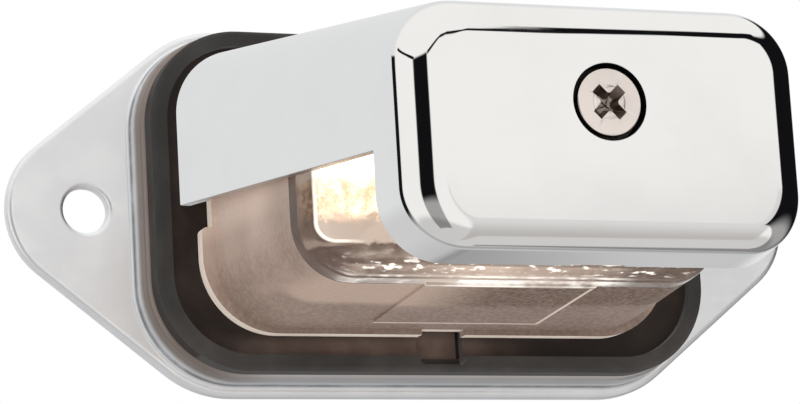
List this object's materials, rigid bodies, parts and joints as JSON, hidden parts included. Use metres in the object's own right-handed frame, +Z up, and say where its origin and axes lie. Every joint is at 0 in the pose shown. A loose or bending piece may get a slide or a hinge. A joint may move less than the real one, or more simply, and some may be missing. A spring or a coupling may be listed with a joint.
{
  "type": "number plate lamp",
  "caption": "Number plate lamp with an eared pressed plate, rubber gasket, clear lens over bulbs in twist-in sockets, and a deep chromed hood held by a long central screw.",
  "frame": {"origin": "middle of the plate's back, midway between the mounting holes, in the mounting plane", "axes": "+X along the line of the mounting holes, +Y into the panel that it is fixed to, +Z up"},
  "size_m": [0.1174, 0.0704, 0.0518],
  "materials": {
    "zinc_plate": "bright zinc plate on pressed steel sheet, satin with faint draw marks",
    "black_rubber": "moulded black rubber, dull with a slight sheen",
    "clear_lens": "clear moulded plastic, finely grained on the walls and polished at the front",
    "chrome": "bright chrome plate on a die casting",
    "screw_steel": "passivated steel, warm satin",
    "post_steel": "turned steel, zinc plated",
    "socket_plastic": "black moulded plastic, matte",
    "contact_brass": "stamped brass strip, bright",
    "bulb_glass": "clear blown and pressed glass",
    "lead_wire": "drawn wire, satin",
    "filament_wire": "dark coiled wire, unlit"
  },
  "bodies": {
    "root": {"base_plate": "zinc_plate", "gasket": "black_rubber", "lens": "clear_lens", "hood": "chrome", "hood_screw": "screw_steel", "threaded_post": "post_steel", "lens_seal": "black_rubber", "socket_left": "socket_plastic", "socket_left_seal": "black_rubber", "bulb_left_glass": "bulb_glass", "bulb_left_filament": "filament_wire", "socket_left_contact_upper": "contact_brass", "bulb_left_lead_upper": "lead_wire", "socket_left_contact_lower": "contact_brass", "bulb_left_lead_lower": "lead_wire", "socket_right": "socket_plastic", "socket_right_seal": "black_rubber", "bulb_right_glass": "bulb_glass", "bulb_right_filament": "filament_wire", "socket_right_contact_upper": "contact_brass", "bulb_right_lead_upper": "lead_wire", "socket_right_contact_lower": "contact_brass", "bulb_right_lead_lower": "lead_wire"}
  },
  "joints": []
}
